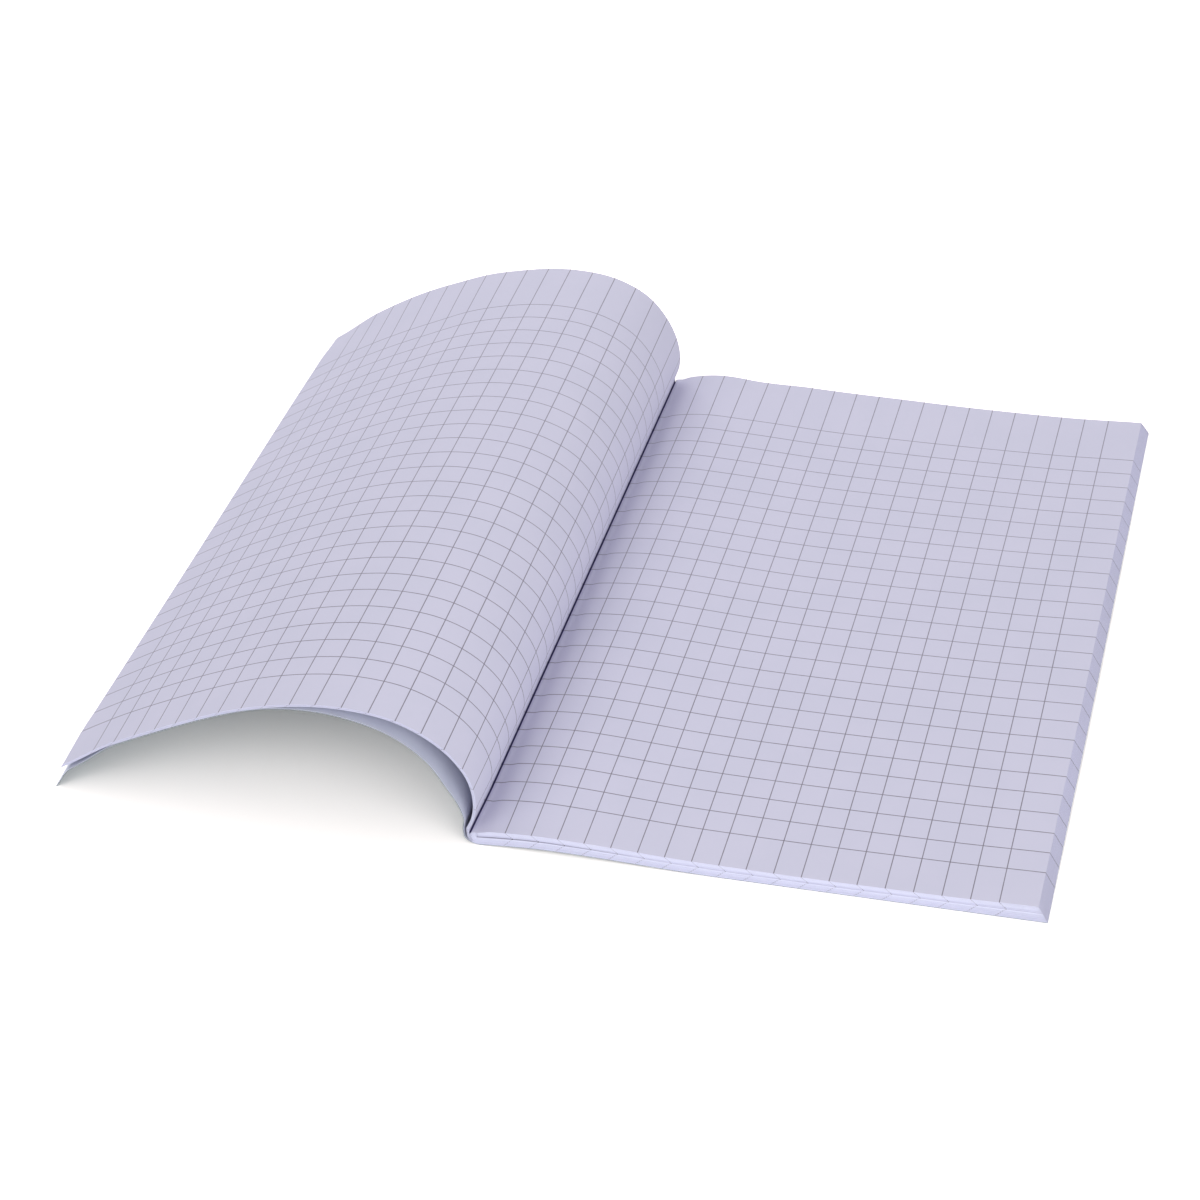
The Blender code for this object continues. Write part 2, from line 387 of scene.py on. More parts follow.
    def cover_depth(self, station: float) -> float:
        """Depth of the cover under the uppermost left page: a crescent, then a gap at the edge."""
        distance = station - self.crescent_peak
        if distance < 0:
            share = math.cos(0.5 * math.pi * distance / self.crescent_rise)
        else:
            share = window(distance, self.crescent_fall)
        closed = self.depth(1) + (self.solid_paper + self.card) / 2 + self.cover_clearance
        edge = self.edge_gap * window(self.left_width - station, self.left_width - self.edge_gap_start)
        return closed + self.crescent * share + edge

    def left_leaf(self, number: int) -> Course:
        """A left-hand leaf, from its fold over the arch to the fore-edge."""
        depth = self.depth(number)
        stations = spaced(0.0, self.left_width + self.arch_spare, self.arch_step)
        points = [self.arch(station, depth) for station in stations]
        return [(-self.fold_reach(number), self.fold_top)] + trimmed(points, self.left_width)

    def right_leaf(self, number: int) -> Course:
        """A front leaf of the block, from its fold to the fore-edge."""
        points = []
        near = [-self.hinge_gap / 2, self.first_station]
        for x in near + self.block_stations(self.edge(number, Half.FRONT)):
            rise = self.block_height(number, Half.FRONT, x) - self.fold_height
            dip = self.fold_dip * window(x, self.fold_dip_reach)
            points.append((x, self.fold_height + rise * (1.0 - dip)))
        return points

    def back_leaf(self, number: int) -> Course:
        """A back leaf, from its fore-edge to the spine, with the sheet's fold."""
        stations = self.block_stations(self.edge(number, Half.BACK))
        flat = [(x, self.block_height(number, Half.BACK, x)) for x in reversed(stations)]
        drop = self.fold_height - self.block_height(number, Half.BACK, 0.0)
        reach = self.fold_reach(number)
        if number <= self.left_leaves:
            fold = self.fold_arc(reach, drop, 180.0, self.left_fold_steps)
            # Two points just below the top of the painted gutter shade keep its edge sharp; the stub then
            # ends at fold_top.
            heights = (self.painted_shade_top - self.painted_shade_blur, self.painted_shade_top, self.fold_top)
            return flat + fold + [(-reach, z) for z in heights]
        across = min(self.fold_end, self.hinge_gap / 2 / reach) ** (1.0 / self.fold_fullness)
        return flat + self.fold_arc(reach, drop, math.degrees(math.acos(-across)), self.fold_steps)

    def front_cover(self) -> Course:
        """The front cover, from the crease over the arch and down to its edge on the table."""
        points = [(-self.cover_fold, self.fold_top), (-self.cover_fold, self.crease + self.hinge_gap)]
        stations = spaced(0.0, self.left_width, self.arch_step)[1:]
        points += [self.arch(station, self.cover_depth(station)) for station in stations]
        x, z = points[-1]
        rest = self.card / 2 * abs(math.cos(math.radians(self.flap_end)))
        heading = self.flap_start
        while z > rest + TINY:
            dx = self.flap_step * math.cos(math.radians(heading))
            dz = self.flap_step * math.sin(math.radians(heading))
            share = min(1.0, (rest - z) / dz)
            x += share * dx
            z += share * dz
            points.append((x, z))
            heading = min(self.flap_end, heading + self.flap_turn)
        return points

    def back_cover(self) -> Course:
        """The back cover, from its fore-edge to the spine and up round the fold."""
        half = self.card / 2
        stations = self.block_stations(self.block_edge)
        flat = [(x, self.base(x) + half) for x in reversed(stations)]
        fold = self.fold_arc(self.cover_fold, self.fold_height - half, 180.0, self.cover_fold_steps)
        return flat + fold + [(-self.cover_fold, self.fold_top)]


HUMP: Share = (hill, X, 16.0, 22.0)
OUTER_HALF: Share = (eased, X, 80.0, 190.0)
LEFT_EDGE: Share = (eased, X, -100.0, -160.0)
NEAR_END: Share = (eased, Y, -120.0, -END)
FAR_HALF: Share = (eased, Y, 29.0, 119.0)
FAR_END: Share = (eased, Y, 115.0, END)
CORNERS: Share = (eased, FROM_MIDDLE, 126.0, END)
RAISED: Share = (eased, Z, 6.0, 13.0)


def total(effects: Effects, x: float, y: float, z: float = 0.0) -> float:
    """Add up effects at a place: each is its amount times the shares of it that the place gets."""
    place = (x, y, z, abs(y))
    result = 0.0
    for amount, *shares in effects:
        for rule, axis, first, second in shares:
            amount *= rule(place[axis], first, second)
        result += amount
    return result


@dataclass(frozen=True)
class Settling:
    """How the book lies, apart from its even course across: small sags, curls and a lean.

    Each list holds effects. An effect is an amount in millimetres, or for a droop a share of the height,
    and its shares. A share that is eased runs from its start to its end along an axis, and a hill has a
    middle and a half width. Near is the end towards the camera, at negative Y, and far is the other one.

    Attributes:
        top: Height of the block's top page: softer and pressed beside the spine at the near end, a hump
            beside the fold that grows towards the far end, a dip and a swell behind it, a dip in the
            middle, an outer half that sinks towards the far end, and a curl at the fore-edge.
        fade_above: Heights above that page between which the changes fade out.
        flat_far: Where the curl of the block's outer part is taken out again; flat_near too.
        rises: Height of the arch.
        droops: Corners of the arch; the cover's droop a little further.
        leans: Shift across that grows evenly from lean_origin to the far end.
        shifts: Shift across of pages and cover; those of one alone have its name.
        skews: Shift along the spine.
    """

    shape: BookShape
    fade_above: Span = (0.5, 11.0)
    lean_origin: float = -131.0
    top: Effects = (
        (-0.65, (hill, X, 50.0, 45.0), (eased, Y, -11.0, -131.0)),
        (-1.1, (hill, X, 20.0, 42.0), (eased, Y, -115.0, -END)),
        (0.25, HUMP, (eased, Y, -11.0, 29.0)),
        (0.35, HUMP, FAR_HALF),
        (0.7, HUMP, FAR_END),
        (-0.5, (hill, X, 42.0, 18.0), FAR_END),
        (0.55, (hill, X, 75.0, 60.0), FAR_END),
        (-0.38, (hill, X, 122.0, 50.0)),
        (-1.35, OUTER_HALF, FAR_HALF),
        (-0.81, OUTER_HALF, FAR_END),
        (0.35, (eased, X, 150.0, 200.0), (hill, Y, 10.0, 100.0)))
    flat_far: Span = (29.0, 130.0)
    flat_near: Span = (-90.0, -END)
    rises: Effects = (
        (2.1, (hill, X, -116.0, 52.0), (eased, Y, 110.0, END), (eased, Z, 10.0, 25.0)),
        (-1.0, NEAR_END, (eased, X, -90.0, -130.0), RAISED),
        (0.9, (eased, X, -105.0, -80.0), (eased, Z, 30.0, 46.0), (eased, Y, 40.0, END)))
    droops: Effects = (
        (0.22, (eased, X, -142.0, -172.0), (eased, Y, -126.0, -END)),
        (0.17, (eased, X, -142.0, -172.0), (eased, Y, 126.0, END)))
    cover_droops: Effects = ((0.45, (eased, X, -166.0, -173.0), CORNERS),)
    droop_start: Span = (0.0, 2.0)
    leans: Effects = (
        (-1.05, (eased, Z, 8.0, 26.0), (eased, X, -16.0, -3.0)),
        (-0.5, LEFT_EDGE, (eased, Y, END, 90.0)))
    shifts: Effects = (
        (-0.45, (eased, Y, -20.0, -END), LEFT_EDGE, RAISED),
        (0.45, (eased, Y, -150.0, -20.0), (eased, X, 186.0, 207.0)))
    cover_shifts: Effects = ((0.9, CORNERS, (eased, X, -171.0, -173.5)),)
    page_shifts: Effects = (
        (-2.0, NEAR_END, (eased, X, -138.0, -166.0)),
        (-0.8, (eased, Y, 120.0, END), (eased, X, -138.0, -166.0)),
        (-0.75, NEAR_END, (eased, Z, 34.0, 21.0), (eased, X, 10.0, -1.0), (eased, X, -30.0, -12.0)))
    skews: Effects = ((-0.8, (eased, X, 90.0, 205.0), (eased, Y, 100.0, END)),)

    def block(self, x: float, y: float, z: float) -> float:
        """Height that a point of the block gains or loses, in full only at its top."""
        top = self.shape.block_height(self.shape.left_leaves + 1, Half.FRONT, max(0.0, x))
        fade = 1.0 - eased(z, top + self.fade_above[0], top + self.fade_above[1])
        flat = self.shape.lift(x) * max(eased(y, *self.flat_far), eased(y, *self.flat_near))
        low = self.shape.base(x) + self.shape.card
        share = min(1.0, max(0.0, (z - low) / (top - low)))
        return fade * (share * (total(self.top, x, y) + flat) - flat)

    def moved(self, x: float, y: float, z: float, card: bool) -> Triple:
        """Move a point of the even course to where it lies.

        Args:
            x: Distance from the spine line.
            y: Place along the spine.
            z: Height.
            card: Whether the point is one of the cover, which droops further at its corners.

        Returns:
            The moved point.
        """
        far = (y - self.lean_origin) / (END - self.lean_origin)
        droop = total(self.droops + self.cover_droops if card else self.droops, x, y)
        dz = self.block(x, y, z) + total(self.rises, x, y, z) - z * droop * eased(z, *self.droop_start)
        shifts = self.shifts + (self.cover_shifts if card else self.page_shifts)
        dx = far * total(self.leans, x, y, z) + total(shifts, x, y, z)
        return x + dx, y + total(self.skews, x, y), z + dz


class NodeDesk:
    """Places and joins the nodes of one tree."""

    def __init__(self, tree: bpy.types.NodeTree) -> None:
        """Keep the tree that the nodes go into."""
        self.tree = tree

    def feed(self, target: Socket, value: object) -> None:
        """Join a socket to an input, or set the input's own value."""
        if isinstance(value, bpy.types.NodeSocket):
            self.tree.links.new(value, target)
        else:
            target.default_value = value

    def fill(self, made: bpy.types.Node, values: dict[str, object]) -> None:
        """Feed a node's inputs by name, with an underscore for a space."""
        for name, value in values.items():
            self.feed(made.inputs[name.replace("_", " ")], value)

    def node(self, kind: str, group: bpy.types.NodeTree | None = None, **values: object) -> bpy.types.Node:
        """Place a node.

        Args:
            kind: Its type name, without the first word ShaderNode.
            group: The node group that it stands for, if it is a group node.
            values: Inputs by name, with an underscore for a space: a socket is joined, a value is set.

        Returns:
            The node.
        """
        made = self.tree.nodes.new("ShaderNode" + kind)
        if group:
            made.node_tree = group
        self.fill(made, values)
        return made

    def math(self, operation: str, first: object, second: object = 0.0) -> Socket:
        """Place a Math node and give its result."""
        made = self.node("Math")
        made.operation = operation
        for target, value in zip(made.inputs, (first, second)):
            self.feed(target, value)
        return made.outputs[0]

    def ramp(self, value: Socket, low: object, high: object, to_low: float, to_high: float) -> Socket:
        """Map a value smoothly from one range to another."""
        made = self.node(
            "MapRange", Value=value, From_Min=low, From_Max=high, To_Min=to_low, To_Max=to_high)
        made.interpolation_type = "SMOOTHSTEP"
        return made.outputs["Result"]

    def mix(self, *values: object) -> Socket:
        """Mix two colours; the share of the second one comes first."""
        made = self.node("Mix")
        made.data_type = "RGBA"
        for index, value in zip(MIX_INPUTS, values):
            self.feed(made.inputs[index], value)
        return made.outputs[MIX_RESULT]

    def noise(self, vector: Socket, **values: object) -> Socket:
        """Place a noise texture and give its value."""
        return self.node("TexNoise", Vector=vector, **values).outputs["Fac"]

    def attribute(self, name: str, output: str) -> Socket:
        """Read one of the piece's attributes."""
        made = self.node("Attribute")
        made.attribute_name = name
        return made.outputs[output]


def linear(colour: Triple) -> tuple[float, ...]:
    """Turn a colour written in 0 to 255 screen values into a linear one, along the sRGB curve."""
    parts = [value / 255.0 for value in colour]
    return (*(part / 12.92 if part <= 0.04045 else ((part + 0.055) / 1.055) ** 2.4 for part in parts), 1.0)


class Skin(NodeDesk):
    """A new material and the nodes in it."""

    def __init__(self, name: str) -> None:
        """Make the material."""
        self.material = bpy.data.materials.new(name)
        self.material.use_nodes = True
        super().__init__(self.material.node_tree)

    def finish(self, colour: Socket, height: Socket, bump: Span, grain: Socket, rough: Span,
               **values: float) -> bpy.types.Material:
        """Join what was made to the main shader.

        Args:
            colour: The base colour.
            height: The height that the bump follows.
            bump: The bump's strength, and its depth in metres.
            grain: What the roughness follows.
            rough: The roughness at the grain's low and high places.
            values: More inputs of the shader by name, with an underscore for a space.

        Returns:
            The material.
        """
        bumped = self.node("Bump", Height=height, Strength=bump[0], Distance=bump[1])
        values.update(
            Base_Color=colour, Normal=bumped.outputs["Normal"], Roughness=self.ramp(grain, *GRAIN, *rough))
        self.fill(self.tree.nodes["Principled BSDF"], values)
        return self.material


class EffectKit:
    """Node groups that more than one finish uses, each built once."""

    def __init__(self) -> None:
        """Build the groups."""
        self.ruling = self.make_ruling()
        self.fibre = self.make_fibre()
        self.wear = self.make_wear()

    @staticmethod
    def start(name: str, inputs: dict[str, float | None], outputs: Sequence[str]) -> tuple[
            NodeDesk, Sequence[Socket], Sequence[Socket]]:
        """Start a node group.

        Args:
            name: Its name.
            inputs: Inputs and their values; None makes a vector.
            outputs: Names of its float outputs.

        Returns:
            A desk for the group, the sockets that come in and those that go out.
        """
        tree = bpy.data.node_groups.new(name, "ShaderNodeTree")
        for key, value in inputs.items():
            kind = "NodeSocketVector" if value is None else "NodeSocketFloat"
            socket = tree.interface.new_socket(key, in_out="INPUT", socket_type=kind)
            if value is not None:
                socket.default_value = value
        for key in outputs:
            tree.interface.new_socket(key, in_out="OUTPUT", socket_type="NodeSocketFloat")
        given = tree.nodes.new("NodeGroupInput")
        result = tree.nodes.new("NodeGroupOutput")
        return NodeDesk(tree), given.outputs, result.inputs

    def make_ruling(self) -> bpy.types.NodeTree:
        """Printed squares: a mask of the ruled lines, with the ink uneven along them."""
        desk, given, result = self.start(
            "ruled_squares",
            {"Place": None, "Pitch": SQUARE * MM, "Line Width": 0.0004, "Softness": 0.0001, "Columns": 19.0,
             "Rows": 26.0, "Unevenness": 0.3},
            ("Ink",))
        parts = desk.node("SeparateXYZ", Vector=given["Place"]).outputs
        half_width = desk.math("MULTIPLY", given["Line Width"], 0.5)
        low = desk.math("SUBTRACT", half_width, given["Softness"])
        high = desk.math("ADD", half_width, given["Softness"])
        masks = []
        for part, count in ((parts[0], given["Columns"]), (parts[1], given["Rows"])):
            cell = desk.math("DIVIDE", part, given["Pitch"])
            offset = desk.math("SUBTRACT", desk.math("FRACT", desk.math("ADD", cell, 0.5)), 0.5)
            distance = desk.math("MULTIPLY", desk.math("ABSOLUTE", offset), given["Pitch"])
            line = desk.ramp(distance, low, high, 1.0, 0.0)
            inside = desk.math(
                "MULTIPLY", desk.math("GREATER_THAN", cell, 0.5),
                desk.math("LESS_THAN", cell, desk.math("ADD", count, 0.5)))
            masks.append(desk.math("MULTIPLY", line, inside))
        lines = desk.math("MAXIMUM", masks[0], masks[1])
        mottle = desk.noise(given["Place"], Scale=260.0, Detail=3.0, Roughness=0.6)
        uneven = desk.math("MULTIPLY", mottle, given["Unevenness"])
        desk.feed(result["Ink"], desk.math("MULTIPLY", lines, desk.math("SUBTRACT", 1.0, uneven)))
        return desk.tree

    def make_fibre(self) -> bpy.types.NodeTree:
        """Paper or card pulp: a cloudy tone and the height of its fine fibres."""
        desk, given, result = self.start(
            "pulp_fibre", {"Place": None, "Fibre Scale": 1500.0, "Cloud Scale": 40.0}, ("Cloud", "Height"))
        fine = desk.noise(given["Place"], Scale=given["Fibre Scale"], Detail=3.0, Roughness=0.65)
        stretched = desk.node(
            "Mapping", Vector=given["Place"], Scale=(0.35, 1.6, 1.0), Rotation=(0.0, 0.0, 0.5))
        strands = desk.noise(stretched.outputs[0], Scale=given["Fibre Scale"], Detail=2.0, Roughness=0.7)
        height = desk.math("ADD", desk.math("MULTIPLY", fine, 0.5), desk.math("MULTIPLY", strands, 0.5))
        cloud = desk.noise(given["Place"], Scale=given["Cloud Scale"], Detail=4.0, Roughness=0.6)
        desk.feed(result["Cloud"], cloud)
        desk.feed(result["Height"], height)
        return desk.tree

    def make_wear(self) -> bpy.types.NodeTree:
        """Rubbed edges: a mask that grows towards the fore-edge, the head and the foot."""
        desk, given, result = self.start(
            "rubbed_edges", {"Place": None, "Width": 0.21, "Height": 0.297, "Reach": 0.002}, ("Rub",))
        parts = desk.node("SeparateXYZ", Vector=given["Place"]).outputs
        to_fore = desk.math("SUBTRACT", given["Width"], parts[0])
        to_head = desk.math("SUBTRACT", given["Height"], parts[1])
        nearest = desk.math("MINIMUM", desk.math("MINIMUM", to_fore, to_head), parts[1])
        rough = desk.noise(given["Place"], Scale=600.0, Detail=4.0, Roughness=0.7)
        reach = desk.math("MULTIPLY", given["Reach"], desk.math("MULTIPLY", rough, 2.0))
        desk.feed(result["Rub"], desk.ramp(nearest, 0.0, reach, 1.0, 0.0))
        return desk.tree


@dataclass(frozen=True)
class PaperFinish:
    """Uncoated white writing paper with printed squares, darkened by painted shade deep in the gutter."""

    name: str = "squared_paper"
    colour: Triple = (206.0, 204.0, 224.0)
    cloudy: Triple = (204.0, 202.5, 222.5)
    ink: Triple = (108.0, 101.0, 112.0)
    ink_strength: float = 1.0
    # Painted shade: the dark colour given to the paper deep in the gutter, and how strongly.
    painted_gutter_shade: Triple = (88.0, 84.0, 132.0)
    painted_shade_strength: float = 1.0
    line_width: float = 0.36
    line_softness: float = 0.09
    fade_start: float = 30.0
    fade_end: float = 220.0
    head_strength: float = 0.83
    clouds: Span = (0.35, 0.65)
    bump: Span = (0.12, 0.00006)
    rough: Span = (0.73, 0.86)
    specular: float = 0.25

    def build(self, kit: EffectKit) -> bpy.types.Material:
        """Make the material from the shared node groups."""
        skin = Skin(self.name)
        place = skin.attribute(PLACE, "Vector")
        pulp = skin.node("Group", kit.fibre, Place=place)
        ruling = skin.node(
            "Group", kit.ruling, Place=place, Line_Width=self.line_width * MM,
            Softness=self.line_softness * MM)
        cloud = skin.ramp(pulp.outputs["Cloud"], *self.clouds, 0.0, 1.0)
        sheet = skin.mix(cloud, linear(self.colour), linear(self.cloudy))
        along = skin.node("SeparateXYZ", Vector=place).outputs[1]
        faded = skin.ramp(along, self.fade_start * MM, self.fade_end * MM, self.ink_strength,
                          self.ink_strength * self.head_strength)
        ink = skin.math("MULTIPLY", ruling.outputs["Ink"], faded)
        printed = skin.mix(ink, sheet, linear(self.ink))
        # Painted shade: darken the paper where the mark says it lies deep in the gutter's slit.
        shade = skin.math("MULTIPLY", skin.attribute(PAINTED_GUTTER_SHADE, "Fac"), self.painted_shade_strength)
        colour = skin.mix(shade, printed, linear(self.painted_gutter_shade))
        height = pulp.outputs["Height"]
        return skin.finish(colour, height, self.bump, height, self.rough, Specular_IOR_Level=self.specular)


@dataclass(frozen=True)
class CardFinish:
    """Cover card: one face of the folded cover, or its cut edge."""

    name: str
    colour: Triple
    cloudy: Triple
    rubbed: Triple
    rough: Span
    coat: float = 0.0
    emboss: float = 0.0
    fibre_scale: float = 900.0
    cloud_scale: float = 70.0
    clouds: Span = (0.3, 0.7)
    wear: float = 0.6
    weave: float = 0.9
    weave_height: float = 0.25
    bump: Span = (0.2, 0.00008)
    coat_roughness: float = 0.35

    def build(self, kit: EffectKit) -> bpy.types.Material:
        """Make the material from the shared node groups."""
        skin = Skin(self.name)
        place = skin.attribute(PLACE, "Vector")
        pulp = skin.node(
            "Group", kit.fibre, Place=place, Fibre_Scale=self.fibre_scale,
            Cloud_Scale=self.cloud_scale)
        wear = skin.node("Group", kit.wear, Place=place)
        cloud = skin.ramp(pulp.outputs["Cloud"], *self.clouds, 0.0, 1.0)
        body = skin.mix(cloud, linear(self.colour), linear(self.cloudy))
        rub = skin.math("MULTIPLY", wear.outputs["Rub"], self.wear)
        colour = skin.mix(rub, body, linear(self.rubbed))
        parts = skin.node("SeparateXYZ", Vector=place).outputs
        turns = math.tau / (self.weave * MM)
        threads = [skin.math("SINE", skin.math("MULTIPLY", part, turns)) for part in parts[:2]]
        linen = skin.math("MULTIPLY", skin.math("ADD", *threads), self.weave_height * self.emboss)
        height = skin.math("ADD", linen, pulp.outputs["Height"])
        return skin.finish(
            colour, height, self.bump, pulp.outputs["Height"], self.rough, Coat_Weight=self.coat,
            Coat_Roughness=self.coat_roughness)


@dataclass(frozen=True)
class SteelFinish:
    """Drawn and plated staple wire."""

    name: str = "staple_wire_steel"
    colour: Triple = (198.0, 198.0, 202.0)
    dull: Triple = (150.0, 148.0, 146.0)
    drawn: Triple = (9.0, 1.0, 9.0)
    patches: Span = (0.45, 0.7)
    bump: Span = (0.15, 0.00002)
    rough: Span = (0.22, 0.42)

    def build(self) -> bpy.types.Material:
        """Make the material, with drawing marks along the wire and duller patches."""
        skin = Skin(self.name)
        local = skin.node("TexCoord").outputs["Object"]
        drawn = skin.node("Mapping", Vector=local, Scale=self.drawn).outputs[0]
        marks = skin.noise(drawn, Scale=900.0, Detail=3.0)
        patches = skin.ramp(skin.noise(local, Scale=700.0, Detail=2.0), *self.patches, 0.0, 1.0)
        colour = skin.mix(patches, linear(self.colour), linear(self.dull))
        return skin.finish(colour, marks, self.bump, marks, self.rough, Metallic=1.0)


@dataclass(frozen=True)
class SheetMaker:
    """Turns a course across the book into a leaf of paper or card."""

    spine_x: float
    settling: Settling
    row_step: float = 24.0
    pulp_step: float = 0.02
    bend: float = 6.0
    bend_heading: Triple = (-0.5, 0.0, 0.87)

    def crease(self, course: Course) -> tuple[Vector, Vector]:
        """Where a left-hand leaf or the front cover starts to bend, and where it ends."""
        x, z = course[0]
        start = Vector((self.spine_x + x * MM, 0.0, z * MM))
        return start, start + Vector(self.bend_heading) * self.bend * MM

    def make(self, name: str, courses: Sequence[Course], along: Sequence[float], layer: int,
             foot: float = 0.0, head: float = 0.0, card: bool = False) -> bpy.types.Object:
        """Make the middle surface of a leaf, with its place on the sheet as an attribute, and a mark of
        where its paper gets painted gutter shade.

        Args:
            name: Name of the piece.
            courses: Points across the book, in millimetres, for each of the leaf's plies; the last
                of several plies is the inner one, with a finish of its own.
            along: For each point, its place on the printed sheet, in millimetres.
            layer: Number that sets this leaf's pulp apart from the others'.
            foot: How far the near edge is trimmed back, in millimetres.
            head: How far the far edge is trimmed back, in millimetres.
            card: Whether the leaf is one of the cover.

        Returns:
            The object, at the origin, not yet thick.
        """
        shape = self.settling.shape
        painted_shade_top = shape.painted_shade_top - shape.painted_shade_blur / 2
        rows = rows_across(foot - END, END - head, self.row_step)
        work = bmesh.new()
        place = work.verts.layers.float_vector.new(PLACE)
        painted_gutter_shade = work.verts.layers.float.new(PAINTED_GUTTER_SHADE)
        for ply, course in enumerate(courses):
            known = set(work.faces)
            columns, steps = len(course) - 1, len(rows) - 1
            grid = bmesh.ops.create_grid(work, x_segments=columns, y_segments=steps, size=1.0)
            for vert in grid["verts"]:
                column = round((vert.co.x + 1.0) / 2.0 * columns)
                row = round((vert.co.y + 1.0) / 2.0 * steps)
                x, z = course[column]
                # Painted shade: points low down in the gutter get 1, and there the paper's colour is
                # darkened as if in shade.
                vert[painted_gutter_shade] = float(x < shape.painted_shade_right and z < painted_shade_top)
                x, y, z = self.settling.moved(x, rows[row], z, card)
                vert[place] = Vector((along[column] * MM, (y + END) * MM, layer * self.pulp_step))
                vert.co = Vector((self.spine_x + x * MM, y * MM, z * MM))
            for face in set(work.faces) - known:
                face.smooth = True
                face.material_index = int(0 < ply == len(courses) - 1)
        for edge in work.edges:
            edge.smooth = not edge.is_boundary
        return meshed(name, work)

    @staticmethod
    def thicken(piece: bpy.types.Object, thickness: float, materials: Sequence[bpy.types.Material],
                bevel: float) -> None:
        """Give a leaf its thickness and its finishes.

        Args:
            piece: The leaf.
            thickness: In millimetres.
            materials: Finishes of the faces, outer and then inner, and as many of the cut edges.
            bevel: Width of the rounding at the cut edges, in millimetres, or 0.
        """
        for material in materials:
            piece.data.materials.append(material)
        solid = piece.modifiers.new("Thickness", "SOLIDIFY")
        solid.thickness = thickness * MM
        solid.offset = 0.0
        solid.use_even_offset = True
        solid.material_offset_rim = len(materials) // 2
        if bevel:
            rounding = piece.modifiers.new("Rounding", "BEVEL")
            rounding.width = bevel * MM
            rounding.segments = 2
            rounding.limit_method = "ANGLE"


@dataclass
class Pages:
    """The twenty folded sheets, each as a front leaf and a back leaf.

    A print is the distance of the first printed row from the near edge, in millimetres, and how far the
    lines along the spine and those across it are turned, in radians.
    """

    shape: BookShape
    maker: SheetMaker
    paper: bpy.types.Material
    cut_edge: bpy.types.Material
    thickness: float = 0.166
    creep: float = 2.2
    creep_below: float = 1.3
    right_print: Triple = (16.95, 0.0, 0.0)
    left_print: Triple = (17.0, -0.0044, 0.0104)
    right_slip: float = 0.5
    left_first_line: float = 11.25
    left_line_pitch: float = 10.2
    slant_origin: float = 140.0
    cut_spread: float = 0.22
    print_spread: float = 0.12
    seed: int = 11

    def print_shift(self, number: int, half: Half) -> float:
        """How far the printed lines of a leaf of the block lie right of those of the top page."""
        top = self.shape.left_leaves + 1
        if half is Half.FRONT:
            return self.creep * (number - top) / (self.shape.sheets - top)
        share = (self.shape.sheets - number) / (self.shape.sheets - 1)
        return self.creep - (self.creep + self.creep_below) * share

    def leaf(self, number: int, half: Half, course: Course, along: Sequence[float],
             dice: random.Random) -> bpy.types.Object:
        """Make one leaf, with its own small errors of cutting and printing.

        Args:
            number: Number of the sheet.
            half: Which leaf of it.
            course: Points across the book.
            along: Place of each point on the printed sheet.
            dice: Source of the small errors.

        Returns:
            The finished leaf.
        """
        left = half is Half.FRONT and number <= self.shape.left_leaves
        first_row, turn, slant = self.left_print if left else self.right_print
        slip = dice.uniform(-self.print_spread, self.print_spread)
        along = [value + slip for value in along]
        layer = number if half is Half.BACK else number + self.shape.sheets
        piece = self.maker.make(
            f"page_{number:02d}_{half.value}", [course], along, layer, dice.uniform(0.0, self.cut_spread),
            dice.uniform(0.0, self.cut_spread))
        drop = (SQUARE - first_row + dice.uniform(-self.print_spread, self.print_spread)) * MM
        for entry in piece.data.attributes[PLACE].data:
            u, v, layer_place = entry.vector
            twist = turn * (v - END * MM)
            slope = slant * (u - self.slant_origin * MM)
            entry.vector = Vector((u + twist, v + drop + slope, layer_place))
        self.maker.thicken(piece, self.thickness, (self.paper, self.cut_edge), 0.0)
        return piece

    def block_leaf(self, number: int, half: Half, course: Course, dice: random.Random) -> bpy.types.Object:
        """Make a leaf of the block, as leaf() does."""
        shift = self.print_shift(number, half) + self.right_slip
        return self.leaf(number, half, course, [x - shift for x, _ in course], dice)

    def build(self) -> None:
        """Make every leaf, and join each back leaf to its body."""
        dice = random.Random(self.seed)
        for number in range(1, self.shape.sheets + 1):
            self.build_back(number, dice)
            if number <= self.shape.left_leaves:
                self.build_left(number, dice)
            else:
                self.build_right(number, dice)
        LOG.info("pages: %d sheets, each a front leaf and a back leaf", self.shape.sheets)

    def build_back(self, number: int, dice: random.Random) -> None:
        """Make a back leaf with its fold."""
        piece = self.block_leaf(number, Half.BACK, self.shape.back_leaf(number), dice)
        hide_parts(f"sheet_{number:02d}_back_leaf")
        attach(piece, "back_half")

    def build_right(self, number: int, dice: random.Random) -> None:
        """Make a front leaf of the block."""
        course = self.shape.right_leaf(number)
        piece = self.block_leaf(number, Half.FRONT, course, dice)
        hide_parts(f"sheet_{number:02d}_front_leaf")
        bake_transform(piece)

    def build_left(self, number: int, dice: random.Random) -> None:
        """Make a left-hand leaf."""
        course = self.shape.left_leaf(number)
        run = lengths(course)
        first = run[1] + self.left_first_line
        along = [SQUARE + (value - first) * SQUARE / self.left_line_pitch for value in run]
        piece = self.leaf(number, Half.FRONT, course, along, dice)
        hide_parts(f"sheet_{number:02d}_front_leaf")
        start, end = self.maker.crease(course)
        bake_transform(piece)


